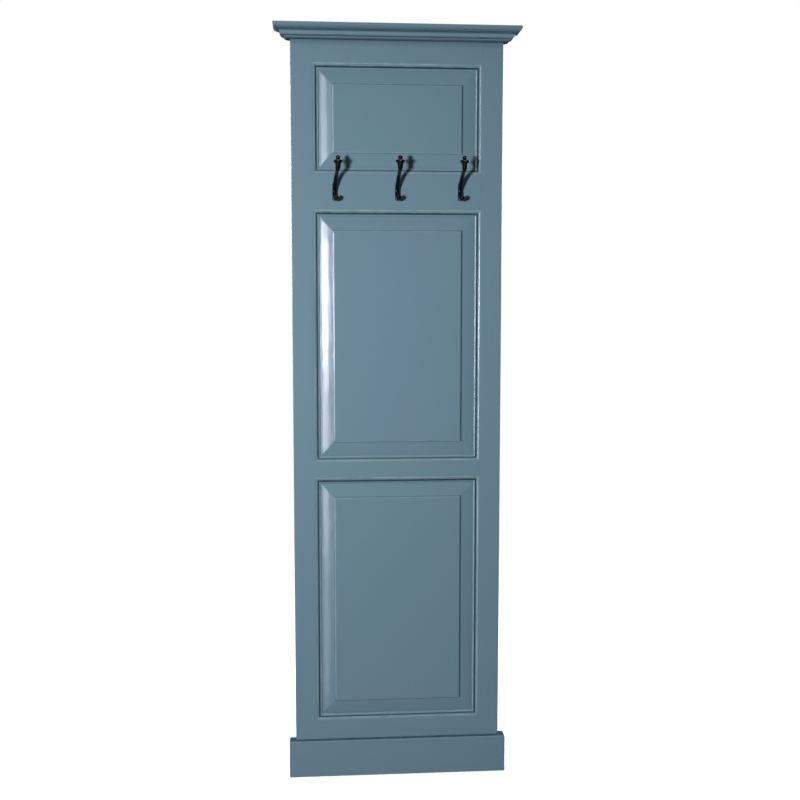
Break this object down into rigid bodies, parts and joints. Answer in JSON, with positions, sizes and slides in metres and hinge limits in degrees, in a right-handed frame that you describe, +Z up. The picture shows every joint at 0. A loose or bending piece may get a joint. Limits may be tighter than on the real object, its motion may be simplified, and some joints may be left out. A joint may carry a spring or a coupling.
{
  "type": "hall tree with hooks",
  "caption": "Tall flat coat panel of painted wood: raised panels in a moulded frame, with a crown, a plinth and double coat hooks.",
  "frame": {"origin": "on the wall face (the back of the frame) at floor level, on the centre line between the stiles; the wall_face mount's point is 5 mm straight above it, on the back of the bottom rail", "axes": "+Z up, +X to the right as seen from the front, -Y the front, so +Y points into the wall"},
  "size_m": [0.6414, 0.1214, 2],
  "materials": {
    "painted_wood": "brushed grey-blue paint, semi-gloss",
    "hook_bronze": "dark bronze with brass-coloured rubbed edges",
    "bronze_screw": "darkened slotted round head",
    "steel_screw": "plain countersunk slotted head",
    "peg_wood": "bare turned hardwood"
  },
  "bodies": {
    "root": {"left_stile": "painted_wood", "right_stile": "painted_wood", "bottom_rail": "painted_wood", "middle_rail": "painted_wood", "hook_rail": "painted_wood", "top_rail": "painted_wood", "bottom_panel": "painted_wood", "middle_panel": "painted_wood", "top_panel": "painted_wood", "crown_cap": "painted_wood", "crown_mould_front": "painted_wood", "crown_mould_left": "painted_wood", "crown_mould_right": "painted_wood", "plinth_front": "painted_wood", "plinth_left": "painted_wood", "plinth_right": "painted_wood", "hook_left": "hook_bronze", "hook_left_screw_upper": "bronze_screw", "hook_left_screw_lower": "bronze_screw", "hook_middle": "hook_bronze", "hook_middle_screw_upper": "bronze_screw", "hook_middle_screw_lower": "bronze_screw", "hook_right": "hook_bronze", "hook_right_screw_upper": "bronze_screw", "hook_right_screw_lower": "bronze_screw", "cap_screw_left": "steel_screw", "plinth_screw_left": "steel_screw", "cap_screw_middle": "steel_screw", "plinth_screw_middle": "steel_screw", "cap_screw_right": "steel_screw", "plinth_screw_right": "steel_screw", "peg_bottom_left_1": "peg_wood", "peg_bottom_left_2": "peg_wood", "peg_bottom_right_1": "peg_wood", "peg_bottom_right_2": "peg_wood", "peg_hook_left_1": "peg_wood", "peg_hook_left_2": "peg_wood", "peg_hook_right_1": "peg_wood", "peg_hook_right_2": "peg_wood", "peg_middle_left": "peg_wood", "peg_middle_right": "peg_wood", "peg_top_left": "peg_wood", "peg_top_right": "peg_wood"}
  },
  "joints": []
}
